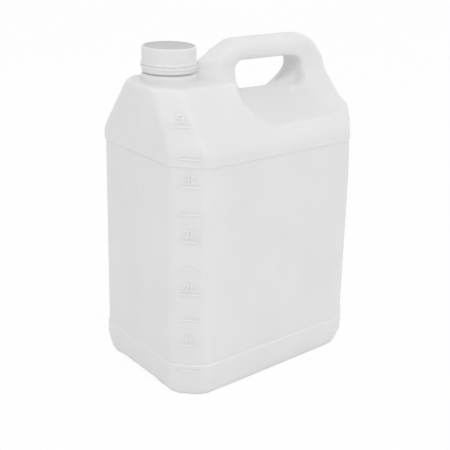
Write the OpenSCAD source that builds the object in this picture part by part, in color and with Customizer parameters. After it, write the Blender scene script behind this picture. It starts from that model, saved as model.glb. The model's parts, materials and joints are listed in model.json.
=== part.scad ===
// Square five litre jug with a built-in handle, a ribbed screw cap, a tamper band and a sealing wad.
// Millimetres. X runs along the long side with the neck at the -X end, Z is up, Z = 0 is the table.

/* [Body] */
// Length over the raised bands, along X
body_length = 188; // [182:1:196]
// Width over the raised bands, along Y
body_width = 135; // [128:1:142]
// Corner chamfer, measured along each side
chamfer = 20; // [17:0.5:23]
// Wall thickness of the blown shell
wall = 1.4; // [1:0.1:1.8]
// How far the two bands stand proud of the wall panels
band_step = 1; // [0.5:0.1:1.5]
// Top of the lower band
low_band = 25.4; // [20:0.2:34]
// Height of the upper band, up to the shoulder
upper_band = 9.8; // [7:0.2:20]
// Extra chamfer at the foot of the two corners where the base is cut back most
foot_bevel = 8.4; // [5:0.2:11]
// Depth of the groove along the underside
base_groove = 2.8; // [1:0.1:3.4]
// Height of the lowest measuring line
first_mark = 20.9; // [19:0.1:23]
// How far the measuring lines stand out
mark_height = 0.5; // [0.3:0.1:0.8]
// Length of a measuring line
mark_length = 16.8; // [12:0.4:18]

/* [Shoulder] */
// Height where the sloping shoulder starts
shoulder_start = 197; // [194:0.5:200]
// Rise of the shoulder up to the small flat round the neck
shoulder_rise = 43; // [40:0.5:45]
// Half width of the flat round the neck
flat_half = 34; // [31:0.5:36]
// Height of the ledge below the finger hole, above the shoulder start
ledge_rise = 11; // [8:0.5:13]
// How much wider the rear chamfers are at the ledge than lower down
rear_lean = 5.6; // [3:0.2:7]

/* [Handle] */
// Height of the top of the handle above the flat
handle_rise = 28.5; // [26:0.5:33]
// Thickness of the grip bar, top to bottom
bar_thickness = 17.3; // [15:0.1:19]
// Width of the grip, along Y
grip_width = 26; // [23:0.5:28]
// Distance from the neck axis to the near end of the finger hole
hole_start = 57.4; // [56:0.2:60]
// Thickness of the rear post, along X
rear_post = 29.6; // [28:0.2:33]
// Depth of the ridge under the finger hole, below the flat
hole_depth = 13.4; // [11:0.2:16]

/* [Neck] */
// Distance from the end wall to the neck axis
neck_offset = 31; // [29:0.5:33]
// Bore of the neck
neck_bore = 30.8; // [29:0.1:31.6]
// Diameter over the neck thread
finish = 37.6; // [37:0.1:38]
// Height of the neck rim above the flat
neck_height = 24; // [23:0.2:25]
// Rise of the thread in one turn
pitch = 4.2; // [3.8:0.1:4.6]
// Depth of the neck thread
thread_depth = 1.5; // [1.2:0.1:1.6]

/* [Closure] */
// Gap all round between the cap and the neck thread
cap_gap = 0.5; // [0.35:0.05:0.7]
// Thickness of the cap skirt
cap_skirt = 1.6; // [1.3:0.1:1.9]
// Thickness of the cap top
cap_crown = 2.3; // [1.4:0.1:2.6]
// How far the cap reaches down below the neck rim
cap_reach = 10.6; // [10:0.1:11.2]
// Thickness of the sealing wad
wad = 1.2; // [0.8:0.1:1.6]
// Number of grip ribs round the cap
ribs = 54; // [40:1:60]
// Depth of the grip ribs
rib_depth = 0.45; // [0.3:0.05:0.6]
// Height of the tamper band
band_height = 4.8; // [4.2:0.1:5.2]
// Slit between the cap and the tamper band
slit = 0.7; // [0.5:0.1:1]

/* [Hidden] */
$fn = 96;
half_l = body_length / 2;
half_w = body_width / 2;
high_band = shoulder_start - upper_band;
shoulder_top = shoulder_start + shoulder_rise;
ledge = shoulder_start + ledge_rise;
slope = (half_w - flat_half) / shoulder_rise;
neck_x = -half_l + neck_offset;
rim = shoulder_top + neck_height;
root_r = finish / 2 - thread_depth;
grip = grip_width / 2;
hole_l = neck_x + hole_start;
hole_r = half_l - rear_post;
hole_floor = shoulder_top - hole_depth;
handle_top = shoulder_top + handle_rise;
hole_top = handle_top - bar_thickness;
cove_y = half_w - slope * ledge_rise - 4;
cove_hole = pow(cove_y, 2) / (2 * (hole_floor - ledge)) + (hole_floor - ledge) / 2;
cap_inner = finish / 2 + cap_gap;
cap_outer = cap_inner + cap_skirt;
cap_top = rim + wad + cap_crown;
cap_low = rim - cap_reach;
band_top = cap_low - slit;
band_low = band_top - band_height;
bead_z = band_low - 2.4;
skin = [0.83, 0.84, 0.83];

// Shape helpers
function unit(v) = v / max(norm(v), 0.0001);
function mix(a, b, k) = a + (b - a) * k;
function near(p, i) = p[(i + len(p)) % len(p)];
function bend(a, b, c, t, k) = b + unit(a - b) * t * pow(1 - k, 2) + unit(c - b) * t * pow(k, 2);
function cut(a, b, c, r) = min(r * 0.5, norm(a - b) * 0.45, norm(c - b) * 0.45);
function rounded(a, b, c, r, n) = [for (s = [0:n]) bend(a, b, c, cut(a, b, c, r), s / n)];
function soften(p, r, n) = [for (i = [0:len(p) - 1]) each rounded(near(p, i - 1), p[i], near(p, i + 1), r, n)];
// Four cornered outline with a chamfer at each corner: ends at xl and xr, half width h, left chamfer lx along X
// and ly along Y, right chamfer rx and ry, and so much more at the front right and rear left corners
function outline(xl, xr, h, lx, ly, rx, ry, more = 0) = [
    [xl + lx, -h], [xr - rx - more, -h], [xr, ry + more - h], [xr, h - ry],
    [xr - rx, h], [xl + lx + more, h], [xl, h - ly - more], [xl, ly - h]
];
function level(z, p) = [for (q = p) [q[0], q[1], z]];
function upright(y, p) = [for (q = p) [q[0], y, q[1]]];

// Skins a list of rings that all have the same number of points. A hollow outline gives its end faces as lid.
module loft(rings, lid = []) {
    n = len(rings[0]);
    m = len(rings);
    cover = len(lid) == 0 ? [[for (i = [0:n - 1]) i]] : lid;
    side = [
        for (j = [0:m - 2])
            for (i = [0:n - 1])
                for (f = [0:1])
                    f == 0
                        ? [j * n + i, (j + 1) * n + i, (j + 1) * n + (i + 1) % n]
                        : [j * n + i, (j + 1) * n + (i + 1) % n, j * n + (i + 1) % n]
    ];
    under = [for (f = cover) [for (i = [len(f) - 1:-1:0]) (m - 1) * n + f[i]]];
    polyhedron([for (r = rings) each r], concat(cover, side, under), 8);
}

// Body and shoulder, t inside the outer skin
function lean(z) = rear_lean * pow(min(1, max(0, (z - ledge + 60) / 60)), 2);
function bevel(z) = foot_bevel * pow(max(0, 1 - z / 15), 1.35);
function body_ring(z, in, foot, t, n) =
    let (c = chamfer + foot - 0.59 * t, rear = c + lean(z))
    level(z, soften(outline(in + t - half_l, half_l - in - t, half_w - in - t, c, c, rear, rear, bevel(z)), 9, n));
function roof_half(z) = half_w - slope * (z - shoulder_start);
function roof_ring(z, t, n) =
    let (k = (z - shoulder_start) / shoulder_rise, h = roof_half(z))
    let (rc = max(1.5, chamfer - half_w + h + lean(z)))
    level(z - t * 0.2, soften(outline(
        -half_l + 3 * k + t, half_l - 3 * k - t, h - 1.1 * t,
        mix(chamfer, 16, k) - 0.5 * t, mix(chamfer, 18, k) - 0.5 * t, rc, rc), 9, n));
function floor_z(z, t) = t > 0 ? base_groove + t + z * 0.7 : z;
module body(t, n) {
    s = band_step;
    loft([
        body_ring(floor_z(0, t), 1.9, 0, t, n),
        body_ring(floor_z(1.2, t), 0.9, 0.2, t, n),
        body_ring(floor_z(3.6, t), 0.3, 0.2, t, n),
        body_ring(floor_z(7.5, t), 0.1, 0.1, t, n),
        body_ring(13, 0, 0, t, n),
        body_ring(low_band - 0.6, 0, 0, t, n),
        body_ring(low_band + 0.8, s, -0.59 * s, t, n),
        body_ring(mix(low_band, high_band, 0.8), s, -0.59 * s, t, n),
        body_ring(high_band - 0.8, s, -0.59 * s, t, n),
        body_ring(high_band + 0.6, 0, 0, t, n),
        body_ring(shoulder_start - 1.6, 0, 0, t, n),
        body_ring(shoulder_start, 0.5, 0, t, n),
        roof_ring(shoulder_start + 2, t, n),
        roof_ring(ledge + 1, t, n),
        roof_ring(shoulder_top - 1.5, t, n),
        level(shoulder_top - t, [for (p = roof_ring(shoulder_top - 1.5, t, n)) [
            mix(neck_x, p[0], 0.93), p[1] * 0.93
        ]])
    ]);
}

// What is scooped out of the shoulder beside the handle, down to the ledge
function scoop_side(y) = mix(hole_l + 0.7, hole_l - 19, min(1, max(0, (abs(y) - 8) / 29)));
function scoop_ring(y, t) = upright(y, concat(
    [[scoop_side(y) - t, shoulder_top + 30]],
    [for (a = [180:15:270]) [
        scoop_side(y) + 26 + (26 + t) * cos(a),
        ledge + 26 + (26 + t) * sin(a)
    ]],
    [[half_l + 20, ledge - t], [half_l + 20, shoulder_top + 30]]));
module scoop(t) {
    loft([for (y = [half_w + 5, 37, 22, 8, -8, -22, -37, -half_w - 5]) scoop_ring(y, t)]);
}

// Hollow curves that run from the ledge up to the ridge under the hole and up to the rear post, whose foot ends
// on the leaning rear corners of the body
rear_corner = half_l + half_w - chamfer - rear_lean;
function cove(z) =
    z <= ledge ? cove_y + min(3, ledge - z)
    : cove_y - sqrt(max(0, pow(cove_hole, 2) - pow(max(0, ledge + cove_hole - z), 2)));
function flare(k) = pow(1 - k, 1.75) * (1 - 0.16 * min(1, k / 0.08));
function rear_cove(z) = grip - 0.5 + (cove_y - grip + 0.5) * (z <= ledge ? 1.07 : flare(min(1, (z - ledge) / 41)));
function rear_x(z) = half_l - 1.3 - 0.4 * pow(max(0, (z - ledge - 14) / (handle_top - ledge - 34)), 2);
function skirt_ring(z, t, n) =
    let (h = max(1.2, cove(z) - 1.2 * t))
    let (p = rear_cove(z) - 1.1 * t)
    let (e = rear_x(z) - t - mix(t > 0 ? 1.2 : 0, t > 0 ? 3.6 : 2.6, min(1, max(0, (z - ledge - 15) / 19))))
    let (c = min(p - 2, max(e + p - rear_corner + 1 + 2 * t, mix(1.6, 6, min(1, max(0, z - ledge) / 18)))))
    let (a = hole_r - 26, b = hole_r + 8)
    let (tail = [[b, -p], [e - c, -p], [e, c - p], [e, p - c], [e - c, p], [b, p]])
    level(z - t, concat(
        [for (k = [0:n]) [mix(a, b, k / n), -mix(h, p, k / n * k / n * (3 - 2 * k / n))]],
        [for (i = [1:4]) each rounded(tail[i - 1], tail[i], tail[i + 1], 9, 3)],
        [for (k = [n:-1:0]) [mix(a, b, k / n), mix(h, p, k / n * k / n * (3 - 2 * k / n))]],
        [[hole_l - 6, h], [hole_l - 6, -h]]));
module skirt(t, n) {
    loft([
        for (r = [-3, 0.4, 1.2, 2.6, 5, 8, 11.5, 15, 19.2, 26, 34, 40])
            skirt_ring(ledge + r, t, n)
    ]);
}

// Front root of the handle, swelling down to the flat beside the neck
function root_ring(z, h, xl, t) = level(z, soften(outline(
    xl + t, hole_l + 1 - t, h - t, 12 - t / 2, h - 7, mix(2, 20, (h - grip) / 22), max(3, h - 9 + t / 2)), 8, 3));
module root(t) {
    loft([
        root_ring(shoulder_top - 9 - t, roof_half(shoulder_top - 5), neck_x + 24, t),
        root_ring(shoulder_top - 2 - t, roof_half(shoulder_top - 2) - 1.4, neck_x + 23.6, t),
        root_ring(shoulder_top + 1 - t, flat_half - 4.5, neck_x + 24, t),
        root_ring(shoulder_top + handle_rise * 0.14 - t, mix(flat_half, grip, 0.52), neck_x + 25, t),
        root_ring(shoulder_top + handle_rise * 0.28 - t, mix(flat_half, grip, 0.79), neck_x + 27, t),
        root_ring(shoulder_top + handle_rise * 0.42 - t, grip + 1.6, neck_x + 29, t),
        root_ring(shoulder_top + handle_rise * 0.6 - t, grip - 0.4, neck_x + 33, t)
    ]);
}

// Grip: outer line in side view as [x, z, rounding], going up the rear post and over to the neck
function grip_line() =
    let (b = handle_top, r = half_l)
    [
        [r - 5, ledge - 4, 6], [r - 4, ledge + 10, 6], [r - 1.8, ledge + 21, 6],
        [r - 1.3, ledge + 31, 6], [r - 3.4, b - 19.6, 6], [r - 6, b - 14.4, 6.2], [r - 9.4, b - 10, 6.5],
        [r - 14, b - 5.6, 7], [r - 19.4, b - 2.4, 7], [r - 25, b - 0.7, 7], [r - 31, b, 7],
        [half_l - 56, b, 7], [half_l - 78, b, 7], [neck_x + 62, b - 0.2, 7], [neck_x + 54, b - 1.6, 7],
        [neck_x + 47.6, b - 4.2, 8], [neck_x + 42.6, b - 7, 9], [neck_x + 35.6, b - 11.6, 10.5],
        [neck_x + 29.8, b - 15.8, 11.5], [neck_x + 27, b - 18.6, 12], [neck_x + 24.6, b - 23, 12],
        [neck_x + 23, b - 33.7, 12]
    ];
function grip_inner() = [
    [hole_l - 4, shoulder_top - 7.3, 0], [hole_l - 4, hole_top - 9, 0], [hole_l + 6, hole_top - 2.5, 0],
    [hole_r - 7, hole_top - 2.5, 0], [hole_r - 2, hole_top - 9, 0], [hole_r - 2, ledge - 4, 0]
];
function inward(p, i) = unit([near(p, i - 1)[1] - near(p, i + 1)[1], near(p, i + 1)[0] - near(p, i - 1)[0]]);
function pulled(p, i, d) = [p[i][0] + inward(p, i)[0] * d, p[i][1] + inward(p, i)[1] * d];
function shrink(s, r) = r * (1 - pow(1 - pow(s, 2.4), 1 / 2.4));
function grip_ring(s, t) =
    let (line = grip_line(), hole = grip_inner(), last = len(line) - 1)
    upright(s * (grip - t), concat(
        [for (i = [0:last]) i == 0 || i == last
            ? [line[i][0] + (i == 0 ? -1 : 1) * (t + shrink(abs(s), line[i][2])), line[i][1]]
            : pulled(line, i, t + shrink(abs(s), line[i][2]))],
        [for (q = hole) [q[0], q[1]]]));
// End face of an arch: joins the outer line's points 0 to last to the inner line's, seam by seam
function arch_lid(last, seam) =
    let (k = len(seam), q = last + k + 1)
    concat(
        [for (j = [0:k]) for (i = [(j == 0 ? 0 : seam[j - 1]):(j == k ? last : seam[j]) - 1]) [i, i + 1, q - j]],
        [for (j = [0:k - 1]) [seam[j], q - j - 1, q - j]]);
module grip_bar(t) {
    loft(
        [for (s = [1, 0.94, 0.8, 0.55, 0, -0.55, -0.8, -0.94, -1]) grip_ring(s, t)],
        arch_lid(len(grip_line()) - 1, [1, 4, 11, 16, 20]));
}

// Finger hole: a rounded slot right through, its edges opening out towards both faces
function corner(x, z, r, g, a0, a1) = [
    for (k = [0:4]) [x + (r + g) * cos(mix(a0, a1, k / 4)), z + (r + g) * sin(mix(a0, a1, k / 4))]
];
function hole_ring(y, g) = upright(y, concat(
    corner(hole_l + 12, hole_floor + 12, 12, g, 180, 270),
    corner(hole_r - 12, hole_floor + 12, 12, g, 270, 360),
    corner(hole_r - 9, hole_top - 9, 9, g, 0, 90),
    corner(hole_l + 7, hole_top - 7, 7, g, 90, 180)));
module finger_hole(t) {
    g = grip;
    loft([
        for (q = [
            [g + 9, 6.6], [g + 2, 4], [g + 0.3, 2.5], [g - 1.15, 1.2], [g - 4, 0.2], [g - 6, 0],
            [6 - g, 0], [4 - g, 0.2], [1.15 - g, 1.2], [-g - 0.3, 2.5], [-g - 2, 4], [-g - 9, 6.6]
        ]) hole_ring(q[0], q[1] + t)
    ]);
}

// The whole form of the bottle below the neck, t inside its outer skin
module form(t, n) {
    difference() {
        union() {
            union() {
                difference() {
                    body(t, n);
                    scoop(t);
                }
                union() {
                    root(t);
                    grip_bar(t);
                }
            }
            skirt(t, n == 3 ? 5 : 4);
        }
        finger_hole(t);
    }
}

// One thread ridge from radius a to radius b, starting at height z and making the given turns
function ridge_ring(a, b, z, k, f, w) =
    let (o = a < b ? -0.5 : 0.5, c = mix(a, b, f))
    let (p = [[a + o, w / 2], [c, w / 4], [c, -w / 4], [a + o, -w / 2]])
    [for (i = [0:3]) let (q = p[a < b ? i : 3 - i]) [q[0] * cos(k), q[0] * sin(k), z + q[1]]];
module thread(a, b, z, turns, w) {
    n = round(turns * 24);
    loft([
        for (i = [0:n])
            ridge_ring(a, b, z + pitch * turns * i / n, 360 * turns * i / n, min(1, 0.1 + i / 3, 0.1 + (n - i) / 3), w)
    ]);
}

module neck_solid() {
    translate([neck_x, 0, 0]) {
        translate([0, 0, shoulder_top - 6])
            cylinder(r = root_r, h = neck_height + 6);
        rotate_extrude()
            polygon(concat(
                [[root_r - 1, shoulder_top - 5], [root_r + 9, shoulder_top - 5], [root_r + 9, shoulder_top - 0.2]],
                [for (a = [0:15:75]) [root_r + 9 - 6 * sin(a), shoulder_top + 5 - 5 * cos(a)]],
                [[root_r + 2.9, shoulder_top + 5.4], [root_r - 1, shoulder_top + 6.4]]));
        translate([0, 0, bead_z])
            cylinder(r = cap_outer - 0.9, h = 1.8);
        translate([0, 0, bead_z + 1.7])
            cylinder(r1 = root_r + 1.6, r2 = root_r, h = 0.8);
        translate([0, 0, band_low + 2.2])
            cylinder(r1 = root_r + 1.7, r2 = root_r - 0.05, h = 2);
        thread(root_r, finish / 2, rim - 2.4 - 1.5 * pitch, 1.5, 2.2);
    }
}

// Measuring lines on the chamfer beside the neck, as far apart as half a litre fills the plan inside the walls
skin_in = wall + band_step;
half_litre = 500000 / (4 * (half_l - skin_in) * (half_w - skin_in) - 2 * pow(chamfer - 0.59 * skin_in, 2));
function mark_z(i) = first_mark + half_litre * (i - 1);
function chamfer_mid(z) =
    let (k = (z - shoulder_start) / shoulder_rise)
    [3 * k - half_l + mix(chamfer, 16, k) / 2, mix(chamfer, 16, k) / 2 - roof_half(z)];
module mark(depth) {
    translate([-mark_length / 2, depth - mark_height, -0.4])
        cube([mark_length, 1.2, 0.8]);
}
module wall_mark(z) {
    translate([chamfer / 2 - half_l, chamfer / 2 - half_w, z])
        rotate([0, 0, -45])
            mark(z < low_band - 2 || z > high_band + 2 ? 0 : band_step);
}
module slope_mark(z) {
    at = chamfer_mid(z);
    run = chamfer_mid(z + 1) - at;
    translate([at[0], at[1], z])
        rotate([0, 0, -45])
            rotate([-atan((run[0] + run[1]) * sqrt(0.5)), 0, 0])
                mark(0);
}
module marks() {
    for (i = [1:floor((shoulder_top - 8 - first_mark) / half_litre) + 1])
        if (mark_z(i) < shoulder_start - 2)
            wall_mark(mark_z(i));
        else if (mark_z(i) > shoulder_start + 3)
            slope_mark(mark_z(i));
}

module bottle() {
    color(skin)
        difference() {
            union() {
                difference() {
                    form(0, 3);
                    translate([neck_x, 0, cap_low - 8])
                        cylinder(r = cap_outer + 1.6, h = 60);
                }
                neck_solid();
                marks();
            }
            form(wall, 2);
            translate([neck_x, 0, shoulder_top - 12])
                cylinder(d = neck_bore, h = neck_height + 20);
            translate([-half_l - 5, 0, 0])
                rotate([90, 0, 90])
                    linear_extrude(body_length + 10)
                        polygon([[-31, -1], [31, -1], [26, base_groove], [-26, base_groove]]);
        }
}

// Closure
function rib_r(a) = cap_outer - rib_depth * (0.5 + 0.5 * cos(a * ribs));
module cap() {
    color([0.87, 0.88, 0.87])
        translate([neck_x, 0, 0])
            difference() {
                union() {
                    translate([0, 0, cap_low + 2])
                        linear_extrude(cap_top - cap_low - 4.2)
                            polygon([for (i = [0:ribs * 4 - 1]) rib_r(i * 90 / ribs) * [cos(i * 90 / ribs), sin(i * 90 / ribs)]]);
                    rotate_extrude()
                        polygon([
                            [0, cap_low + 1], [cap_outer - 1, cap_low + 1], [cap_outer - 1, cap_low],
                            [cap_outer + 0.7, cap_low], [cap_outer + 0.7, cap_low + 1.4],
                            [cap_outer - 0.8, cap_low + 3], [0, cap_low + 3]
                        ]);
                    rotate_extrude()
                        polygon(concat(
                            [[0, cap_top - 3], [cap_outer - 1, cap_top - 3]],
                            [for (a = [0:15:90]) [cap_outer - 1.8 + 1.6 * cos(a), cap_top - 1.6 + 1.6 * sin(a)]],
                            [[cap_outer - 2.8, cap_top - 0.4], [0, cap_top - 0.4]]));
                }
                translate([0, 0, cap_low - 1])
                    cylinder(r = cap_inner, h = cap_top - cap_crown - cap_low + 1);
            }
    color([0.87, 0.88, 0.87])
        translate([neck_x, 0, 0])
            thread(cap_inner, root_r + 0.45, rim - 2.4 - 1 * pitch, 1, 1.9);
}

module tamper_band() {
    color([0.87, 0.88, 0.87])
        translate([neck_x, 0, 0]) {
            rotate_extrude()
                polygon([
                    [cap_outer - 1.3, band_top], [cap_outer + 0.5, band_top], [cap_outer + 0.7, band_top - 0.8],
                    [cap_outer + 0.6, band_top - 2], [cap_outer, band_top - 3.4], [cap_outer - 0.7, band_low],
                    [root_r + 1, band_low], [root_r + 1, band_low + 1.2], [cap_outer - 1.3, band_low + 2]
                ]);
            for (i = [0:7])
                rotate([0, 0, i * 45 + 20])
                    translate([cap_outer - 1.1, -0.5, band_top - 0.4])
                        cube([1.3, 1, slit + 0.3]);
        }
}

module cap_liner() {
    color([0.93, 0.93, 0.92])
        translate([neck_x, 0, rim])
            cylinder(r = cap_inner - 0.3, h = wad);
}

bottle();
cap();
tamper_band();
cap_liner();
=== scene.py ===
"""The looks of a square plastic jug: its shell, measuring marks, cap and tamper band.

The shell is one implicit form that is meshed on a grid and pulled on to its surface. Neck, cap and band are
stacks of rings. Functions work in millimetres, and meshes are made in metres.
"""

import json
import math

import bmesh
import bpy
import numpy as np
from mathutils import Matrix, Vector


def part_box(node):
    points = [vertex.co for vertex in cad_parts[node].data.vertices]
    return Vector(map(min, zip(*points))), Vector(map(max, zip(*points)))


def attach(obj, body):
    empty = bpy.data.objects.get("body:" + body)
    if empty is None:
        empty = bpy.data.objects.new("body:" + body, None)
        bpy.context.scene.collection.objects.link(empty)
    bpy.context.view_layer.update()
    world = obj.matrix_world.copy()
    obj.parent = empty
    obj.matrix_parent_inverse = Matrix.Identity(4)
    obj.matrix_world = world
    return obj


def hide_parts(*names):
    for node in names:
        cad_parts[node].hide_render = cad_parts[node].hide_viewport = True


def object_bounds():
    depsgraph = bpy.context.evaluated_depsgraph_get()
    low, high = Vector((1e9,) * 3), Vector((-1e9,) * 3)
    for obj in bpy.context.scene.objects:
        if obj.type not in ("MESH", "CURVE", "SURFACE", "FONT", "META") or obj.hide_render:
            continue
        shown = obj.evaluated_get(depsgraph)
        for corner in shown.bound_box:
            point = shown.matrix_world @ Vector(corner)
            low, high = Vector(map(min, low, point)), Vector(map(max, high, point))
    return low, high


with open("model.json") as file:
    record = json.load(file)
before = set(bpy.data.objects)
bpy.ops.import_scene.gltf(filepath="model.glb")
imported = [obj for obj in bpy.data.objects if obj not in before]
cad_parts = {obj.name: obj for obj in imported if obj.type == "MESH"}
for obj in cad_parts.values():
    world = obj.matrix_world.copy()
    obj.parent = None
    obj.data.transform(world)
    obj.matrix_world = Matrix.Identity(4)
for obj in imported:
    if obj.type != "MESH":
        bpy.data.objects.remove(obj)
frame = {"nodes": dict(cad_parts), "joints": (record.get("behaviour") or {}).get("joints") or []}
cad_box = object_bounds()
MM = 0.001
ROOT2 = math.sqrt(2)


def millimetres(value):
    return round(value / MM, 1)


# Sizes that come from the frame
HALF_L, HALF_W, HANDLE_TOP = (millimetres(value) for value in cad_box[1])
CAP_LOW, CAP_TOP = (millimetres(corner.z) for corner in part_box("cap"))
BAND_LOW = millimetres(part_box("tamper_band")[0].z)
NECK_X = next(millimetres(joint["pos_m"][0]) for joint in frame["joints"] if joint["name"] == "cap_turn")

# Body: chamfered corners, two proud bands, a foot with two corners cut back, a groove under the base
WALL = 1.4
CHAMFER = 20.0
BAND_STEP = 1.0
LOW_BAND = 25.4
HIGH_BAND = 187.2
FOOT_BEVEL = 9.6
REAR_LEAN = 4.8
GROOVE_DEPTH = 2.8
GROOVE_HALF = 31.0
GROOVE_SLOPE = 1.786

# How widely the body's edges are rounded
WALL_EDGE = 2.5
CHAMFER_EDGE = 4.2
ROOF_EDGE = 2.6
FACET_EDGE = 2.8
TOP_EDGE = 1.8
BASE_EDGE = 1.2
GROOVE_EDGE = 1.5

# Shoulder: slopes from START up to a flat at TOP, and is scooped out beside the handle down to LEDGE
START = 197.0
TOP = 240.0
RISE = TOP - START
FLAT_HALF = 34.0
SLOPE = (HALF_W - FLAT_HALF) / RISE
SLANT = math.hypot(1, SLOPE)
LEDGE = 208.0
SCOOP_R = 33.0

# Unit normal of the facet above each chamfer: its share along x and y, and its share upwards
FACET_OUT = 0.6237
FACET_UP = 0.4714

# Handle and finger hole
BAR = 17.3
GRIP = 13.0
HOLE_L = -5.6
HOLE_R = 64.4
HOLE_FLOOR = 226.6
HOLE_TOP = HANDLE_TOP - BAR
COVE_Y = HALF_W - SLOPE * (LEDGE - START) - 4
COVE_RISE = HOLE_FLOOR - LEDGE
COVE_R = COVE_Y ** 2 / (2 * COVE_RISE) + COVE_RISE / 2

# How widely the bottle's main forms run into each other
SCOOP_BLEND = 6.0
SKIRT_BLEND = 3.2
ROOT_BLEND = 11.5
GRIP_BLEND = 3.5
ROOM_BLEND = 1.8
COLLAR_BLEND = 2.4
HOLE_EDGE_LOW = 2.6
HOLE_EDGE_HIGH = 6.5

# Neck and thread
RIM = 264.0
ROOT_R = 17.3
BORE = 15.4
FINISH_R = 18.8
PITCH = 4.2
THREAD_DROP = 2.4
COLLAR_R = 21.4
COLLAR_TOP = 247.0

# Cap and tamper band
CAP_IN = 19.3
CAP_OUT = 20.9
CAP_RIBS = 54
CAP_RECESS = 0.4
BAND_TOP = 252.7
BRIDGES = 8

# Measuring marks
FIRST_MARK = 20.9
MARKS = 10
MARK_LENGTH = 17.2
MARK_WIDTH = 1.25
MARK_HEIGHT = 0.5
FIGURE_SIZE = 9.2
FIGURE_HEIGHT = 0.36


# Camera, fitted to the photograph
PHOTO_SIZE = 450
FOCAL_PIXELS = 890.88178
SENSOR = 36.0
EYE = Vector((-0.4480178, -0.5632620, 0.3780494))
AZIMUTH, ELEVATION, ROLL = -0.7182478768, 0.3080798533, 0.0370322667


def frame_matrix(x_axis, y_axis, z_axis, origin):
    m = Matrix.Identity(4)
    for i in range(3):
        m[i][0], m[i][1], m[i][2], m[i][3] = x_axis[i], y_axis[i], z_axis[i], origin[i]
    return m


def camera():
    level = math.cos(ELEVATION)
    back = Vector((math.sin(AZIMUTH) * level, -math.cos(AZIMUTH) * level, math.sin(ELEVATION)))
    right = Vector((0, 0, 1)).cross(back).normalized()
    up = back.cross(right)
    rolled_right = right * math.cos(ROLL) + up * math.sin(ROLL)
    rolled_up = up * math.cos(ROLL) - right * math.sin(ROLL)
    data = bpy.data.cameras.new("photo_camera")
    data.sensor_width = SENSOR
    data.lens = FOCAL_PIXELS / PHOTO_SIZE * SENSOR
    data.shift_x = -0.1
    data.shift_y = -0.1
    data.clip_start = 0.01
    data.clip_end = 20
    cam = bpy.data.objects.new("photo_camera", data)
    bpy.context.scene.collection.objects.link(cam)
    cam.matrix_world = frame_matrix(rolled_right, rolled_up, back, EYE)
    bpy.context.scene.camera = cam


camera()


# Field helpers: a field is about the distance to a form in millimetres, negative inside
def smax(a, b, k):
    """The larger of two fields, rounded where they meet within k: cuts or intersects."""
    h = np.maximum(k - np.abs(a - b), 0.0) / k
    return np.maximum(a, b) + h * h * k * 0.25


def smin(a, b, k):
    """The smaller of two fields, rounded where they meet within k: joins."""
    return -smax(-a, -b, k)


def sstep(a, b, v):
    """Smooth step from 0 at a to 1 at b."""
    t = np.clip((v - a) / (b - a), 0.0, 1.0)
    return t * t * (3 - 2 * t)


def mix(a, b, k):
    return a + (b - a) * k


def foot_fade(z, reach, power):
    """1 on the table, falling to 0 at height reach."""
    return np.clip(1 - z / reach, 0, 1) ** power


# Body and shoulder
def panel_share(z):
    """1 on the walls between the two proud bands, 0 on the bands."""
    return sstep(LOW_BAND - 0.7, LOW_BAND + 0.9, z) * (1 - sstep(HIGH_BAND - 0.9, HIGH_BAND + 0.7, z))


def end_walls(x, z):
    """The narrow ends, which lean in a little above the shoulder's start."""
    neck_lean, handle_lean = 3, 2.4
    up = np.maximum(z - START, 0.0)
    neck_end = -x - (HALF_L - neck_lean * up / RISE)
    handle_end = x - (HALF_L - handle_lean * up / RISE)
    return smax(neck_end, handle_end, 1)


def chamfer_cut(x, y, z):
    """How far a chamfer is set back: at the foot, more at two opposite corners, and up at the rear post."""
    lean_height = 60
    lean = np.clip((z - LEDGE + lean_height) / lean_height, 0, 1) ** 2
    all_feet = 0.5 * foot_fade(z, 5.0, 2)
    two_feet = np.where(x * y < 0, FOOT_BEVEL / ROOT2 * foot_fade(z, 16.0, 1.35), 0.0)
    rear_post = np.where(x > 0, REAR_LEAN / ROOT2 * lean, 0.0)
    return BAND_STEP * panel_share(z) + all_feet + two_feet + rear_post


def roof_field(y, z):
    """The long sides of the shoulder."""
    return (np.abs(y) - (HALF_W - SLOPE * (z - START))) / SLANT


def facet_field(x, y, z):
    """The sloping facets above the chamfers at the neck end."""
    outward = (np.abs(y) - (HALF_W - CHAMFER)) - (x + HALF_L)
    return FACET_OUT * outward + FACET_UP * (z - START)


def base_groove(y, z):
    sides = (np.abs(y) - GROOVE_HALF + z * GROOVE_SLOPE) / math.hypot(1, GROOVE_SLOPE)
    return smax(sides, z - GROOVE_DEPTH, 1.0)


def body_field(x, y, z):
    toward_rear = np.clip((x + 40) / 110, 0, 1)
    foot_round = 1.9 * foot_fade(z, 7.5, 2.6)
    end_tuck = 1.5 * foot_fade(z, 9.0, 2)
    side_tuck = 2.2 * toward_rear * foot_fade(z, 12.0, 1.5)
    inset = BAND_STEP * panel_share(z) + foot_round
    ends = end_walls(x, z) + inset + end_tuck
    sides = np.abs(y) - HALF_W + inset + side_tuck
    corners = (np.abs(x) + np.abs(y) - (HALF_L + HALF_W - CHAMFER)) / ROOT2 + chamfer_cut(x, y, z)
    f = smax(smax(ends, sides, WALL_EDGE), corners, CHAMFER_EDGE)
    f = smax(f, roof_field(y, z), ROOF_EDGE)
    f = smax(f, facet_field(x, y, z), FACET_EDGE)
    f = smax(f, z - TOP, TOP_EDGE)
    f = smax(f, -z, BASE_EDGE)
    return smax(f, -base_groove(y, z), GROOVE_EDGE)


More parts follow.
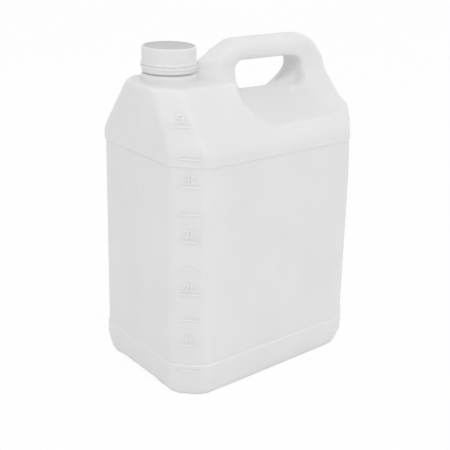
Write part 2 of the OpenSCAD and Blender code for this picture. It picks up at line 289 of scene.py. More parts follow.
def scoop_field(x, y, z):
    """What is cut out of the shoulder beside the handle. It starts nearer to the neck at the long sides."""
    middle, fan, soft = 8, 29, 0.3
    out = (np.abs(y) - middle) / fan
    out = smin(smax(out, np.zeros_like(out), soft), np.ones_like(out), soft)
    side = mix(HOLE_L + 0.7, HOLE_L - 19, out)
    qx = side + SCOOP_R - x
    qz = LEDGE + SCOOP_R - z
    corner = np.hypot(np.maximum(qx, 0), np.maximum(qz, 0))
    slanting_start = 0.87
    return (corner + np.minimum(np.maximum(qx, qz), 0) - SCOOP_R) * slanting_start


# Ridge under the finger hole, with the skirt that flares from the rear post
def skirt_width(x, z):
    """Half the skirt's width: an arc under the hole, a flare at the post, and more below the ledge."""
    above = np.hypot(np.maximum(z - LEDGE, 0.0), 1.0) - 1.0
    under_hole = COVE_Y - np.sqrt(np.maximum(COVE_R ** 2 - np.maximum(COVE_R - above, 0) ** 2, 0))
    post_half, flare_height, drop, drop_end = GRIP - 0.5, 41, 0.16, 0.08
    k = np.clip(above / flare_height, 0, 1)
    flare = (1 - k) ** 1.75 * (1 - drop * np.minimum(1, k / drop_end))
    at_post = post_half + (COVE_Y - post_half) * flare
    below = np.maximum(LEDGE - z, 0.0)
    return mix(under_hole, at_post, sstep(HOLE_R - 26, HOLE_R + 8, x)) + 2 * below


def skirt_slopes(x, z):
    """How fast the width changes upwards and along x, worked out over a short step."""
    up, along, steepest = 0.8, 0.5, 3
    wz = (skirt_width(x, z + up) - skirt_width(x, z - up)) / (2 * up)
    wx = (skirt_width(x + along, z) - skirt_width(x - along, z)) / (2 * along)
    return np.clip(wz, -steepest, steepest), wx


def skirt_field(x, y, z):
    wz, wx = skirt_slopes(x, z)
    f = (np.abs(y) - skirt_width(x, z)) / np.sqrt(1 + wz ** 2 + wx ** 2)
    back = x - (HALF_L - 2.2 - 5.0 * sstep(LEDGE + 22, LEDGE + 44, z))
    f = smax(f, back, 1.5 + 4.0 * sstep(LEDGE + 1, LEDGE + 10, z))
    inside_body = 1.5
    corner = (x + np.abs(y) - (HALF_L + HALF_W - CHAMFER - REAR_LEAN)) / ROOT2
    f = smax(f, corner + inside_body, 2.0)
    f = smax(f, roof_field(y, z) + inside_body, 1.0)
    f = smax(f, (LEDGE - inside_body) - z, 1.0)
    f = smax(f, z - (LEDGE + 40), 1.0)
    front_slope = 0.6
    front = HOLE_L - 6 + front_slope * np.clip(LEDGE + 18 - z, 0, 20)
    return smax(f, (front - x) / math.hypot(1, front_slope), 1.0)


# Handle
def smooth_line(points, steps):
    """Catmull-Rom curve through the points, with the given number of steps for each span."""
    p = np.array(points, float)
    ends_added = np.vstack([2 * p[0] - p[1], p, 2 * p[-1] - p[-2]])
    out = []
    for a, b, c, d in zip(ends_added[:-3], ends_added[1:-2], ends_added[2:-1], ends_added[3:]):
        for t in np.linspace(0, 1, steps, endpoint=False):
            square = (2 * a - 5 * b + 4 * c - d) * t * t
            cube = (3 * b - a - 3 * c + d) * t ** 3
            out.append(0.5 * (2 * b + (c - a) * t + square + cube))
    out.append(p[-1])
    return np.array(out)


def grip_points():
    """The handle's outline from the side: rear post, bar, nose, and root beside the neck."""
    rear, top, neck, hidden_foot = HALF_L, HANDLE_TOP, NECK_X, START - 1
    post = [(rear - 5, hidden_foot), (rear - 4.2, LEDGE + 10), (rear - 1.6, LEDGE + 21)]
    post += [(rear - 0.7, LEDGE + 31), (rear - 3.5, top - 19.6), (rear - 7.3, top - 14.4)]
    rear_bend = [(rear - 10.8, top - 10), (rear - 14.8, top - 5.9), (rear - 19.8, top - 2.7)]
    bar = [(rear - 25, top - 0.8), (rear - 31, top), (rear - 56, top), (rear - 76, top)]
    bar += [(neck + 62, top - 0.4), (neck + 56, top - 2.0), (neck + 50, top - 4.9)]
    nose = [(neck + 43.5, top - 8.1), (neck + 37, top - 11.0), (neck + 31, top - 13)]
    root = [(neck + 27.4, top - 14.8), (neck + 25.2, top - 18), (neck + 24.4, top - 23)]
    root += [(neck + 24, top - 33), (neck + 24, hidden_foot)]
    return post + rear_bend + bar + nose + root


GRIP_LINE = smooth_line(grip_points(), 6)


def line_distance(px, pz):
    """Distance to the closed outline, negative inside. The closing stretch lies hidden in the body."""
    start = GRIP_LINE[:-1]
    along = GRIP_LINE[1:] - start
    best = np.full(px.shape, 1e9)
    for (ax, az), (dx, dz) in zip(start, along):
        t = np.clip(((px - ax) * dx + (pz - az) * dz) / (dx * dx + dz * dz), 0, 1)
        best = np.minimum(best, (px - ax - t * dx) ** 2 + (pz - az - t * dz) ** 2)
    inside = np.zeros(px.shape, bool)
    closed = np.vstack([GRIP_LINE, GRIP_LINE[:1]])
    for (ax, az), (bx, bz) in zip(closed[:-1], closed[1:]):
        if az != bz:
            crossed = ((az > pz) != (bz > pz)) & (px < (bx - ax) * (pz - az) / (bz - az) + ax)
            inside ^= crossed
    return np.where(inside, -np.sqrt(best), np.sqrt(best))


# The distance is worked out once on a grid round the handle
TABLE_STEP = 0.5
TABLE_X = np.arange(NECK_X + 3, HALF_L + 7, TABLE_STEP)
TABLE_Z = np.arange(START - 1, HANDLE_TOP + 12.5, TABLE_STEP)
TABLE = line_distance(*np.meshgrid(TABLE_X, TABLE_Z, indexing="ij"))


def grip_distance(x, z):
    """line_distance read from the table, blended between its four nearest values."""
    u = np.clip((x - TABLE_X[0]) / TABLE_STEP, 0, len(TABLE_X) - 1.001)
    v = np.clip((z - TABLE_Z[0]) / TABLE_STEP, 0, len(TABLE_Z) - 1.001)
    i, j = u.astype(int), v.astype(int)
    a, b = u - i, v - j
    low = TABLE[i, j] * (1 - a) * (1 - b) + TABLE[i + 1, j] * a * (1 - b)
    return low + TABLE[i, j + 1] * (1 - a) * b + TABLE[i + 1, j + 1] * a * b


def grip_field(x, y, z):
    """Bar, rear post and root: thin with tighter edges at the neck, wide and round from the nose on."""
    thin_half, nose_length = 2.5, 20
    nose = NECK_X + 36 + 0.47 * (z - TOP)
    u = np.clip((x - nose + nose_length) / nose_length, 0, 1)
    half = thin_half + (GRIP - 0.25 - thin_half) * u ** 1.7
    edge = mix(4.0, 10.5, u) - 2.0 * sstep(60, 90, x)
    f = smax(grip_distance(x, z), np.abs(y) - half, edge)
    in_hole = np.minimum(x - (HOLE_L + 4), (HOLE_R - 12) - x)
    f = smax(f, np.minimum(in_hole, (HOLE_TOP - 4) - z), 1.0)
    return smax(f, (LEDGE - 3) - z, 1.0)


def hole_field(x, y, z):
    """The finger hole: a rectangle with elliptical corners. The lower rear one is large in the middle."""
    px, pz = x - (HOLE_L + HOLE_R) / 2, z - (HOLE_FLOOR + HOLE_TOP) / 2
    half_x, half_z = (HOLE_R - HOLE_L) / 2, (HOLE_TOP - HOLE_FLOOR) / 2
    low, front = pz < 0, px < 0
    outer = sstep(1.5, 10.0, np.abs(y))
    low_front, high_front, high_rear, low_rear_at_sides = 11.5, 7.0, 9.5, 9.0
    low_x = np.where(front, low_front, mix(25.0, low_rear_at_sides, outer))
    low_z = np.where(front, low_front, mix(half_z - 0.05, low_rear_at_sides, outer))
    high = np.where(front, high_front, high_rear)
    corner_x, corner_z = np.where(low, low_x, high), np.where(low, low_z, high)
    qx, qz = np.abs(px) - half_x + corner_x, np.abs(pz) - half_z + corner_z
    reach = np.hypot(qx / corner_x, qz / corner_z)
    turn = np.maximum(np.hypot(qx / corner_x ** 2, qz / corner_z ** 2), 1e-6)
    arc = (reach - 1) * reach / turn
    return np.where((qx > 0) & (qz > 0), arc, np.maximum(qx - corner_x, qz - corner_z))


def cap_room(x, y, z):
    """The space round the cap and band that the handle's root leaves free."""
    beside, below = 1.7, 8.2
    r = np.hypot(x - NECK_X, y)
    return smax(r - CAP_OUT - beside, CAP_LOW - below - z, 2.0)


def collar(x, y, z):
    """The low boss at the neck's foot."""
    r = np.hypot(x - NECK_X, y)
    return smax(r - COLLAR_R, z - COLLAR_TOP, 3.0)


def bottle_field(x, y, z):
    f = smax(body_field(x, y, z), -scoop_field(x, y, z), SCOOP_BLEND)
    f = smin(f, skirt_field(x, y, z), SKIRT_BLEND)
    f = smin(f, grip_field(x, y, z), mix(ROOT_BLEND, GRIP_BLEND, sstep(-24, 6, x)))
    f = smax(f, -cap_room(x, y, z), ROOM_BLEND)
    f = smin(f, collar(x, y, z), COLLAR_BLEND)
    upper_front = sstep(HOLE_FLOOR + 1, HOLE_FLOOR + 13, z) * (1 - 0.8 * sstep(40, 60, x))
    return smax(f, -hole_field(x, y, z), mix(HOLE_EDGE_LOW, HOLE_EDGE_HIGH, upper_front))


# Surface nets on a grid with free spacing
def along_axis(axis, part):
    """Index that takes the given part along one axis and everything along the others."""
    index = [slice(None)] * 3
    index[axis] = part
    return tuple(index)


def sampled(field, grid, level):
    """The field's values on the grid, worked out a few layers at a time to spare memory."""
    layers = 16
    values = np.empty(grid[0].shape)
    for k in range(0, values.shape[2], layers):
        part = along_axis(2, slice(k, k + layers))
        values[part] = field(*(g[part] for g in grid)) - level
    return values


def cell_window(axis, first, second, shape):
    """The edges along an axis that are one of the four such edges of each cell."""
    window = [slice(None)] * 3
    others = [i for i in range(3) if i != axis]
    for i, shift in zip(others, (first, second)):
        window[i] = slice(shift, shape[i] + shift)
    return tuple(window)


def edge_crossings(values, grid, axes, axis):
    """Where the surface crosses the grid's edges along one axis, and which of them it crosses."""
    low = along_axis(axis, slice(0, -1))
    v0, v1 = values[low], values[along_axis(axis, slice(1, None))]
    crossed = (v0 < 0) != (v1 < 0)
    t = np.where(crossed, v0 / np.where(crossed, v0 - v1, 1), 0)
    step = np.diff(axes[axis]).reshape([-1 if i == axis else 1 for i in range(3)])
    at = [grid[i][low] + (t * step if i == axis else 0) for i in range(3)]
    return np.stack(at, -1) * crossed[..., None], crossed


def edge_quads(values, crossed, index, axis):
    """One face round each crossed edge, turned outwards."""
    b, c = (axis + 1) % 3, (axis + 2) % 3
    at = np.argwhere(crossed)
    last_b, last_c = values.shape[b] - 1, values.shape[c] - 1
    at = at[(at[:, b] > 0) & (at[:, c] > 0) & (at[:, b] < last_b) & (at[:, c] < last_c)]
    starts_inside = values[tuple(at.T)] < 0
    ring = []
    for db, dc in ((0, 0), (1, 0), (1, 1), (0, 1)):
        cell = at.copy()
        cell[:, b] -= 1 - db
        cell[:, c] -= 1 - dc
        ring.append(index[tuple(cell.T)])
    quads = np.stack(ring, 1)
    quads[~starts_inside] = quads[~starts_inside][:, ::-1]
    return quads


def net(field, xs, ys, zs, level=0.0):
    axes = [xs, ys, zs]
    grid = np.meshgrid(*axes, indexing="ij")
    values = sampled(field, grid, level)
    cells = tuple(n - 1 for n in values.shape)
    total = np.zeros((*cells, 3))
    count = np.zeros(cells)
    crossings = []
    for axis in range(3):
        places, crossed = edge_crossings(values, grid, axes, axis)
        for first in (0, 1):
            for second in (0, 1):
                window = cell_window(axis, first, second, cells)
                total += places[window]
                count += crossed[window]
        crossings.append(crossed)
    used = count > 0
    index = np.full(used.shape, -1)
    index[used] = np.arange(used.sum())
    points = total[used] / count[used][:, None]
    return points, np.vstack([edge_quads(values, crossings[axis], index, axis) for axis in range(3)])


def gradient(field, p):
    g = np.empty_like(p)
    h = 0.06
    for axis in range(3):
        step = np.zeros(3)
        step[axis] = h
        g[:, axis] = (field(*(p + step).T) - field(*(p - step).T)) / (2 * h)
    return g


def pull(field, p, level=0.0, rounds=4):
    """Moves points on to the field's surface in short steps, and keeps them in the jug's box."""
    longest, flattest = 0.6, 0.05
    for _ in range(rounds):
        f = field(*p.T) - level
        g = gradient(field, p)
        step = -g * (f / np.maximum((g ** 2).sum(1), flattest))[:, None]
        size = np.linalg.norm(step, axis=1, keepdims=True)
        p = p + step * np.minimum(1, longest / np.maximum(size, 1e-9))
    return np.clip(p, (-HALF_L, -HALF_W, 0), (HALF_L, HALF_W, HANDLE_TOP))


def unit_rows(g):
    return g / np.maximum(np.linalg.norm(g, axis=1, keepdims=True), 1e-9)


# Meshes
def object_from(name, points, faces, normals=None, smooth=True):
    me = bpy.data.meshes.new(name)
    me.from_pydata((np.asarray(points) * MM).tolist(), [], [[int(i) for i in f] for f in faces])
    me.validate()
    if smooth:
        me.shade_smooth()
    if normals is not None:
        me.normals_split_custom_set_from_vertices(np.asarray(normals).tolist())
    o = bpy.data.objects.new(name, me)
    bpy.context.scene.collection.objects.link(o)
    return o


def spaced(*parts):
    """Grid values over adjoining stretches, each given as start, end and the step wanted there."""
    out = []
    for start, end, step in parts:
        n = max(1, round((end - start) / step))
        out += list(np.linspace(start, end, n, endpoint=False))
    return np.array(out + [parts[-1][1]])


def angles(n):
    return np.arange(n) * 2 * math.pi / n


def ring_points(rows, a):
    """Points of rings round the neck's axis: rows of (radius, or a radius for each angle, and height)."""
    rings = [np.stack([NECK_X + r * np.cos(a), r * np.sin(a), np.full(len(a), z)], 1) for r, z in rows]
    return np.vstack(rings)


def ring_faces(rows, n):
    """Faces between rings that have n points each."""
    faces = []
    for j in range(rows - 1):
        this, above = j * n, (j + 1) * n
        for i in range(n):
            k = (i + 1) % n
            faces.append((this + i, this + k, above + k, above + i))
    return faces


# Shell: its outside, its inside at wall distance, and the neck
def shell_parts():
    fine = 1.5
    end, side, top = HALF_L + 1.6, HALF_W + 1.3, HANDLE_TOP + 1.7
    xs = spaced((-end, end, fine))
    ys = spaced((-side, side, fine))
    low_start, low_end = LOW_BAND - 1.2, LOW_BAND + 1.4
    high_start, high_end = HIGH_BAND - 1.4, HIGH_BAND + 1.2
    foot = [(-0.9, 3.0, 0.55), (3.0, 14, 1.6), (14, low_start, 3.4)]
    walls = [(low_start, low_end, 0.37), (low_end, high_start, 6.6), (high_start, high_end, 0.43)]
    shoulder = [(high_end, START - 2, 1.7), (START - 2, START + 2, 0.8), (START + 2, top, fine * 0.93)]
    zs = spaced(*foot, *walls, *shoulder)
    p, q = net(bottle_field, xs, ys, zs)
    p = pull(bottle_field, p)
    return p, q, unit_rows(gradient(bottle_field, p))


def inner_parts():
    step, side = 3.6, HALF_W + 0.5
    xs = spaced((-HALF_L, HALF_L, step))
    ys = spaced((-side, side, step))
    zs = spaced((-1, 8, 1.8), (8, START - 5, 9.2), (START - 5, HANDLE_TOP + 1.5, 2.6))
    p, q = net(bottle_field, xs, ys, zs, -WALL)
    p = pull(bottle_field, p, -WALL, 3)
    r = np.hypot(p[:, 0] - NECK_X, p[:, 1])
    in_mouth = (r < BORE + 1.2) & (p[:, 2] > TOP - 6)
    q = q[~in_mouth[q].all(1)][:, ::-1]
    return p, q, -unit_rows(gradient(bottle_field, p))


def ridge(a, z, low, turns, width, height):
    """A helical ridge: how far it stands out at angle a and height z."""
    out = np.zeros(np.broadcast(a, z).shape)
    for n in range(int(math.ceil(turns))):
        turn = a / (2 * math.pi) + n
        end = np.clip(np.minimum(turn, turns - turn) * 8, 0, 1)
        d = np.abs(z - (low + PITCH * turn))
        out = np.maximum(out, height * end * (1 - sstep(width * 0.22, width * 0.58, d)))
    return out


def neck_radius(a, z):
    """Outside of the neck at height z: bead with a sharp step, cone that holds the band, and thread."""
    bead_low, bead_top = 243.5, 247.7
    bead = 2.3 * (sstep(bead_low, bead_low + 1.5, z) - sstep(bead_top - 0.5, bead_top, z))
    step = 1.6 * sstep(bead_top - 0.8, bead_top - 0.5, z) * (1 - sstep(bead_top - 0.2, bead_top + 0.5, z))
    cone_low, cone_width, cone_slope = 250.1, 1.7, 0.85
    cone = max(0.0, cone_width - (z - cone_low) * cone_slope) if z > cone_low else 0.0
    cone = cone * sstep(cone_low - 0.5, cone_low + 0.1, z)
    r = np.full(len(a), ROOT_R) + max(bead, step, cone)
    turns, width = 1.5, 2.2
    low = RIM - THREAD_DROP - turns * PITCH
    return np.maximum(r, ROOT_R + ridge(a, np.full(len(a), z), low, turns, width, FINISH_R - ROOT_R))


def neck_parts():
    n = 160
    a = angles(n)
    rows = [(neck_radius(a, z), z) for z in spaced((TOP + 2.6, RIM - 1.1, 0.26))]
    outer, inner = 0.9, 0.4
    for t in np.linspace(0, math.pi / 2, 6):
        rows.append((ROOT_R - outer + outer * math.cos(t), RIM - outer + outer * math.sin(t)))
    for t in np.linspace(math.pi / 2, math.pi, 5):
        rows.append((BORE + inner + inner * math.cos(t), RIM - inner + inner * math.sin(t)))
    rows += [(BORE, RIM - depth) for depth in (2, 8, 14, 20, 24.5)]
    rows += [(BORE + 0.5, RIM - 26.2), (BORE + 2.2, RIM - 27.1)]
    return ring_points(rows, a), ring_faces(len(rows), n)


def bottle_shell():
    shell = object_from("bottle_shell", *shell_parts())
    inside = object_from("bottle_inside", *inner_parts())
    neck = object_from("bottle_neck", *neck_parts())
    return shell, inside, neck


# Measuring lines and figures, raised on the chamfer beside the neck: one line for each half litre
SKIN = WALL + BAND_STEP
PLAN_AREA = 4 * (HALF_L - SKIN) * (HALF_W - SKIN) - 2 * (CHAMFER - 0.59 * SKIN) ** 2
HALF_LITRE = 500000 / PLAN_AREA


def mark_z(i):
    return FIRST_MARK + HALF_LITRE * (i - 1)


def chamfer_place(z):
    """Frame of the chamfer's middle at height z: along the line, up the face, and outwards."""
    along = Vector((1, -1, 0)).normalized()
    if z > START:
        k = (z - START) / RISE
        half = HALF_W - SLOPE * (z - START)
        side = mix(CHAMFER, 16, k)
        at = Vector((3 * k - HALF_L + side / 2, side / 2 - half, z))
        out = Vector((-FACET_OUT, -FACET_OUT, FACET_UP)).normalized()
    else:
        on_band = z < LOW_BAND - 2 or z > HIGH_BAND + 2
        out = Vector((-1, -1, 0)).normalized()
        at = Vector((CHAMFER / 2 - HALF_L, CHAMFER / 2 - HALF_W, z))
        at -= out * (0.0 if on_band else BAND_STEP)
    return frame_matrix(along, out.cross(along), out, at)


def bar_parts(length, width, height, left_share):
    """A rounded bar lying along local x, sunk a little, lower towards its left end."""
    half, overhang, sunk, n = length / 2, 0.25, 0.12, 9
    xs = np.concatenate([[-half - overhang], np.linspace(-half, half, 15), [half + overhang]])
    points = []
    for x in xs:
        full = 0.0 if abs(x) > half + 0.1 else 1.0
        h = height * mix(left_share, 1.0, float(sstep(-half, length * 0.1, x)))
        for j in range(n):
            t = math.pi * j / (n - 1)
            side = -math.cos(t) * width / 2 * (0.6 + 0.4 * full)
            points.append((x, side, -sunk + (h + sunk) * math.sin(t) ** 0.8 * full))
    faces = []
    for i in range(len(xs) - 1):
        this, other = i * n, (i + 1) * n
        faces += [(other + j, other + j + 1, this + j + 1, this + j) for j in range(n - 1)]
    return points, faces


def figure_mesh(text):
    cu = bpy.data.curves.new("figure", "FONT")
    cu.body = text
    cu.size = FIGURE_SIZE
    cu.align_x = "CENTER"
    cu.extrude = FIGURE_HEIGHT / 2
    cu.bevel_depth = 0.12
    cu.bevel_resolution = 1
    cu.resolution_u = 5
    cu.offset = 0.02
    o = bpy.data.objects.new("figure", cu)
    bpy.context.scene.collection.objects.link(o)
    bpy.context.view_layer.update()
    me = bpy.data.meshes.new_from_object(o.evaluated_get(bpy.context.evaluated_depsgraph_get()))
    bpy.data.objects.remove(o)
    points = [tuple(v.co) for v in me.vertices]
    faces = [tuple(f.vertices) for f in me.polygons]
    bpy.data.meshes.remove(me)
    return points, faces


def joined(name, parts, smooth=True):
    """One object from several (points, faces, place)."""
    points, faces = [], []
    for part_points, part_faces, place in parts:
        base = len(points)
        points += [tuple(place @ Vector(p)) for p in part_points]
        faces += [tuple(i + base for i in f) for f in part_faces]
    return object_from(name, points, faces, smooth=smooth)


def marks():
    lines, figures = [], []
    for i in range(1, MARKS + 1):
        place = chamfer_place(mark_z(i))
        lines.append((*bar_parts(MARK_LENGTH, MARK_WIDTH, MARK_HEIGHT, 0.45), place))
        if i % 2 == 0:
            lift = 3.2 if i < MARKS else 3.4
            figures.append((*figure_mesh(f"{i // 2}L"), place @ Matrix.Translation((0.5, lift, 0.02))))
    return joined("measuring_lines", lines), joined("measuring_figures", figures, smooth=False)


# Closure: the cap's rings run from the middle of its top, round its skirt, to the middle of its underside
def cap_top_rows(row):
    flat = CAP_TOP - CAP_RECESS
    rows = [(0.02, flat)]
    rows += [row(r, flat) for r in (4, 8, 12, 15, 17, 17.7)]
    for t in np.linspace(0, 1, 4):
        rise = 0.38
        rows.append(row(18.0 + 0.5 * t, CAP_TOP - rise + rise * float(sstep(0, 1, t))))
    edge = 2.0
    for t in np.linspace(0.1, 1, 8):
        w = t * math.pi / 2
        share = float(sstep(0.55, 1.0, t)) * 0.7
        rows.append(row(CAP_OUT - edge + edge * math.sin(w), CAP_TOP - edge + edge * math.cos(w), share))
    return rows


def cap_skirt_rows(row):
    """The ribbed skirt and the lip at its lower edge."""
    rows = [row(CAP_OUT, z, 1.0) for z in np.linspace(CAP_TOP - 2.5, CAP_LOW + 2.9, 14)]
    rows.append(row(CAP_OUT + 0.02, CAP_LOW + 2.5, 0.8))
    rows.append(row(CAP_OUT + 0.22, CAP_LOW + 2.1, 0.35))
    rows.append(row(CAP_OUT + 0.5, CAP_LOW + 1.6, 0.05))
    lip = 0.5
    for t in np.linspace(0, 1, 4):
        w = t * math.pi / 2
        height = CAP_LOW + lip - lip * math.sin(w) + lip * (1 - t)
        rows.append(row(CAP_OUT + 0.2 + lip * math.cos(w), height))
    return rows


def cap_inside_rows(row, a):
    """The skirt's inside with its thread, and the flat underside of the top."""
    rows = [row(CAP_IN + 0.3, CAP_LOW), row(CAP_IN, CAP_LOW + 0.3)]
    thread_height = CAP_IN - ROOT_R - 0.45
    for z in spaced((CAP_LOW + 0.7, RIM - 0.8, 0.28)):
        heights = np.full(len(a), z)
        rows.append((CAP_IN - ridge(a, heights, RIM - THREAD_DROP - PITCH, 1.0, 1.9, thread_height), z))
    rows += [row(CAP_IN, RIM + 0.9), row(CAP_IN - 0.3, RIM + 1.22)]
    rows += [row(r, RIM + 1.24) for r in (15, 8, 0.02)]
    return rows


def cap():
    n = CAP_RIBS * 8
    a = angles(n)
    wave = 0.5 + 0.5 * np.cos(a * CAP_RIBS)
    rib_groove = 0.22 * wave ** 1.4

    def row(r, z, rib_share=0.0):
        return np.full(n, r) - rib_share * rib_groove, z

    rows = cap_top_rows(row) + cap_skirt_rows(row) + cap_inside_rows(row, a)
    faces = [f[::-1] for f in ring_faces(len(rows), n)]
    return object_from("cap_ribbed", ring_points(rows, a), faces)


def band_section():
    """The tamper band's section: over its top edge, down its outside with the flange, and up its inside."""
    r, lip, top, low, inner = CAP_OUT, CAP_LOW - 0.2, BAND_TOP, BAND_LOW, ROOT_R + 1
    top_edge = [(r - 1.3, lip), (r - 1.2, lip + 0.15), (r + 0.1, lip + 0.15), (r + 0.3, lip)]
    flange = [(r + 0.6, top + 0.3), (r + 0.95, top), (r + 1.1, top - 0.45), (r + 1.05, top - 0.9)]
    waist = [(r + 0.8, top - 1.4), (r + 0.45, top - 1.8), (r + 0.3, top - 2.3), (r + 0.25, top - 3.2)]
    low_edge = [(r + 0.2, top - 4.1), (r, low + 0.25), (r - 0.3, low + 0.05), (r - 0.9, low)]
    inside = [(inner + 0.1, low), (inner, low + 0.2), (inner, low + 1.1)]
    inside += [(r - 1.4, low + 1.9), (r - 1.3, low + 2.3)]
    return top_edge + flange + waist + low_edge + inside


def add_bridge(bm, angle):
    """One of the thin bridges that joined the band to the cap."""
    r = CAP_OUT - 0.35
    at = ((NECK_X + r * math.cos(angle)) * MM, r * math.sin(angle) * MM, (BAND_TOP + 0.1) * MM)
    size = Matrix.Diagonal((1.2 * MM, 1.1 * MM, 0.98 * MM, 1))
    place = Matrix.Translation(at) @ Matrix.Rotation(angle, 4, "Z") @ size
    made = bmesh.ops.create_cube(bm, size=1, matrix=place)
    edges = list({e for v in made["verts"] for e in v.link_edges})
    bmesh.ops.bevel(bm, geom=edges, offset=0.14 * MM, segments=2, affect="EDGES", profile=0.5)


def tamper_band():
    n = 240
    section = band_section()
    faces = [f[::-1] for f in ring_faces(len(section), n)]
    # The inner wall joins the last ring to the first, with its faces turned into the band
    last = (len(section) - 1) * n
    faces += [(last + (i + 1) % n, (i + 1) % n, i, last + i) for i in range(n)]
    o = object_from("tamper_ring", ring_points(section, angles(n)), faces)
    bm = bmesh.new()
    bm.from_mesh(o.data)
    for i in range(BRIDGES):
        add_bridge(bm, math.radians(i * 360 / BRIDGES + 20))
    bm.to_mesh(o.data)
    bm.free()
    return o


# Shader nodes
def set_inputs(target, values):
    """Sets a node's inputs by name or number: an output is linked, anything else is the value."""
    for key, value in values.items():
        if isinstance(value, bpy.types.NodeSocket):
            target.id_data.links.new(value, target.inputs[key])
        else:
            target.inputs[key].default_value = value


def added(tree, kind, values, **settings):
    made = tree.nodes.new(kind)
    for key, value in settings.items():
        setattr(made, key, value)
    set_inputs(made, values)
    return made


def maths(tree, operation, *values):
    return added(tree, "ShaderNodeMath", dict(enumerate(values)), operation=operation).outputs[0]


def map_range(tree, source, ends, to, smooth=False):
    values = {"Value": source, "From Min": ends[0], "From Max": ends[1], "To Min": to[0], "To Max": to[1]}
    kind = "SMOOTHSTEP" if smooth else "LINEAR"
    return added(tree, "ShaderNodeMapRange", values, interpolation_type=kind).outputs["Result"]


def colour_mix(tree, share, first, second):
    values = {"Factor": share, "A": first, "B": second}
    return added(tree, "ShaderNodeMix", values, data_type="RGBA").outputs["Result"]


def scaled(colour, factor):
    return (*[min(1, c * factor) for c in colour], 1)


def noise(tree, place, scale, detail):
    values = {"Vector": place, "Scale": scale, "Detail": detail, "Roughness": 0.5}
    return added(tree, "ShaderNodeTexNoise", values).outputs["Fac"]


def cloudy(tree, place, scale, detail, low, high):
    """Noise that wanders between low and high."""
    return map_range(tree, noise(tree, place, scale, detail), (0.3, 0.7), (low, high))


def paint_shade_on_top(tree, place, colour, height, shade):
    """Paints shade on the recessed top of the cap, which lies at the given height: its colour is darkened
    there.
    """
    upwards = added(tree, "ShaderNodeSeparateXYZ", {0: place}).outputs["Z"]
    middle = (NECK_X * MM, 0, height * MM)
    from_middle = added(tree, "ShaderNodeVectorMath", {0: place, 1: middle}, operation="DISTANCE")
    ends = ((CAP_OUT - 0.7) * MM, (CAP_OUT - 1.6) * MM)
    inward = map_range(tree, from_middle.outputs["Value"], ends, (0, 1), smooth=True)
    upper = maths(tree, "GREATER_THAN", upwards, (height - 1.0) * MM)
    return colour_mix(tree, maths(tree, "MULTIPLY", inward, upper), shade, scaled(colour, 0.66))


def parting_seam(tree, place):
    """A fine raised line in the plane where the two halves of the mould met."""
    sideways = added(tree, "ShaderNodeSeparateXYZ", {0: place}).outputs["Y"]
    off = maths(tree, "ABSOLUTE", sideways)
    return map_range(tree, off, (0.0, 0.7 * MM), (0.22 * MM, 0.0), smooth=True)


def skin_height(tree, place, waviness):
    """The unevenness of a moulded wall."""
    waves = maths(tree, "MULTIPLY", noise(tree, place, 18, 2), 0.9 * MM * waviness)
    grain = maths(tree, "MULTIPLY", noise(tree, place, 900, 2), 0.01 * MM)
    ripples = maths(tree, "MULTIPLY", noise(tree, place, 190, 3), 0.03 * MM * waviness)
    return maths(tree, "ADD", maths(tree, "ADD", waves, grain), ripples)


def plastic(name, colour, rough, waviness, soft=0.0, seam=False, shade_top_at=None):
    m = bpy.data.materials.new(name)
    m.use_nodes = True
    tree = m.node_tree
    place = added(tree, "ShaderNodeTexCoord", {}).outputs["Object"]
    cloud = cloudy(tree, place, 22, 3, 0.0, 1.0)
    shade = colour_mix(tree, cloud, scaled(colour, 0.975), scaled(colour, 1.012))
    # Painted shade on the cap's recessed top.
    if shade_top_at:
        shade = paint_shade_on_top(tree, place, colour, shade_top_at, shade)
    height = skin_height(tree, place, waviness)
    if seam:
        height = maths(tree, "ADD", height, parting_seam(tree, place))
    bump = added(tree, "ShaderNodeBump", {"Strength": 0.6, "Distance": 1.0, "Height": height})
    surface = {
        "Base Color": shade,
        "Roughness": cloudy(tree, place, 60, 4, rough - 0.04, rough + 0.05),
        "Normal": bump.outputs["Normal"],
        "IOR": 1.5,
        "Specular IOR Level": 0.42,
    }
    if soft:
        glow_depth = 6 * MM
        surface["Subsurface Weight"] = soft
        surface["Subsurface Radius"] = (glow_depth, glow_depth, glow_depth)
        surface["Subsurface Scale"] = 1.0
    set_inputs(tree.nodes["Principled BSDF"], surface)
    return m


def paint(obj, material):
    obj.data.materials.clear()
    obj.data.materials.append(material)


def grey(level):
    return (level, level, level)


SHELL_MAT = plastic("jug_shell_polyethylene", grey(0.80), 0.42, 1.0, soft=0.5, seam=True)
# The marks are the shell's plastic painted a lighter grey: a painted highlight for the light their raised
# tops catch.
MARK_HIGHLIGHT_MAT = plastic("raised_mark_painted_highlight", grey(0.90), 0.42, 0.2, soft=0.15)
# The closure's recessed top is painted darker: painted shade on its upward face.
CAP_MAT = plastic("closure_polyethylene", grey(0.80), 0.40, 0.25, soft=0.1, shade_top_at=CAP_TOP - CAP_RECESS)
WAD_MAT = plastic("wad_foam", (0.86, 0.86, 0.84), 0.7, 0.6)

# Pieces: each stands for a node of the frame and rides on that node's body
for piece in bottle_shell():
    paint(piece, SHELL_MAT)
    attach(piece, "bottle")
    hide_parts("bottle")

for piece in marks():
    paint(piece, MARK_HIGHLIGHT_MAT)
    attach(piece, "bottle")
    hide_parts("bottle")

cap_piece = cap()
paint(cap_piece, CAP_MAT)
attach(cap_piece, "cap")
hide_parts("cap")

band_piece = tamper_band()
paint(band_piece, CAP_MAT)
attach(band_piece, "bottle")
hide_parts("tamper_band")

paint(frame["nodes"]["cap_liner"], WAD_MAT)


# Floor, backdrop and light
WHITE = (1, 1, 1, 1)


def camera_share(tree, share, others, camera):
    """Mixes two shaders: the camera sees a share of the second, and all other rays see only the first."""
    seen = added(tree, "ShaderNodeLightPath", {}).outputs["Is Camera Ray"]
    inputs = {0: maths(tree, "MULTIPLY", seen, share), 1: others.outputs[0], 2: camera.outputs[0]}
    return added(tree, "ShaderNodeMixShader", inputs).outputs[0]


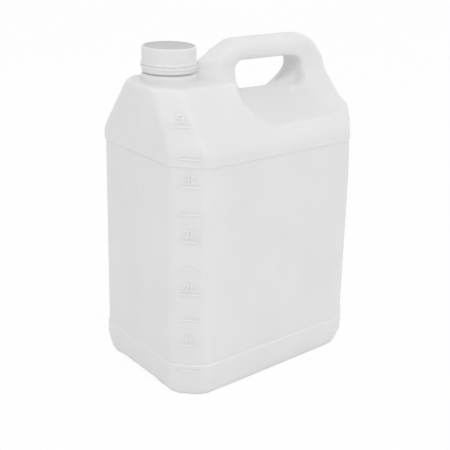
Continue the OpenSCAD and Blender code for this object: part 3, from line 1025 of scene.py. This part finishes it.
def white_floor(level, share):
    m = bpy.data.materials.new("pale_floor")
    m.use_nodes = True
    tree = m.node_tree
    tree.nodes.clear()
    matt = added(tree, "ShaderNodeBsdfDiffuse", {"Color": (*grey(level), 1)})
    bright = added(tree, "ShaderNodeEmission", {"Color": WHITE, "Strength": 1.0})
    added(tree, "ShaderNodeOutputMaterial", {"Surface": camera_share(tree, share, matt, bright)})
    return m


def floor():
    half = 4
    corners = [(-half, -half, 0), (half, -half, 0), (half, half, 0), (-half, half, 0)]
    me = bpy.data.meshes.new("floor")
    me.from_pydata(corners, [], [(0, 1, 2, 3)])
    o = bpy.data.objects.new("floor", me)
    bpy.context.scene.collection.objects.link(o)
    paint(o, white_floor(0.94, 0.93))


def towards(tree, view, direction):
    """How far a ray points in a direction: 1 straight along it, 0 across, less behind."""
    dot = added(tree, "ShaderNodeVectorMath", {0: view, 1: direction}, operation="DOT_PRODUCT")
    return dot.outputs["Value"]


def sky():
    """An even studio, a little darker toward the neck end and darker still in a lobe at the near corner."""
    world = bpy.data.worlds.new("studio")
    bpy.context.scene.world = world
    world.use_nodes = True
    tree = world.node_tree
    tree.nodes.clear()
    view = added(tree, "ShaderNodeTexCoord", {}).outputs["Generated"]
    upwards = added(tree, "ShaderNodeSeparateXYZ", {0: view}).outputs["Z"]
    level = map_range(tree, upwards, (0.0, 1.0), (0.865, 0.87))
    side = maths(tree, "MINIMUM", towards(tree, view, (0.95, -0.31, 0.0)), 0.1)
    level = maths(tree, "ADD", level, maths(tree, "MULTIPLY", side, 0.16))
    lobe = maths(tree, "MAXIMUM", towards(tree, view, (-0.707, -0.707, 0.0)), 0.0)
    lobe = maths(tree, "POWER", lobe, 4.0)
    level = maths(tree, "SUBTRACT", level, maths(tree, "MULTIPLY", lobe, 0.34))
    light = added(tree, "ShaderNodeBackground", {"Color": WHITE, "Strength": level})
    backdrop = added(tree, "ShaderNodeBackground", {"Color": WHITE, "Strength": 1.0})
    added(tree, "ShaderNodeOutputWorld", {"Surface": camera_share(tree, 1.0, light, backdrop)})


def area(name, at, size, power):
    """A rectangular lamp that looks at the middle of the jug."""
    middle = Vector((0, 0, 0.16))
    data = bpy.data.lights.new(name, "AREA")
    data.shape = "RECTANGLE"
    data.size, data.size_y = size
    data.energy = power
    o = bpy.data.objects.new(name, data)
    bpy.context.scene.collection.objects.link(o)
    o.location = at
    o.rotation_euler = (middle - Vector(at)).to_track_quat("-Z", "Y").to_euler()


floor()
sky()
area("key_high_front", (-0.8, -1.1, 1.75), (1.1, 0.8), 8.6)
area("side_left", (-1.7, -0.6, 0.85), (0.5, 0.5), 1.2)
bpy.context.scene.view_settings.view_transform = "Standard"
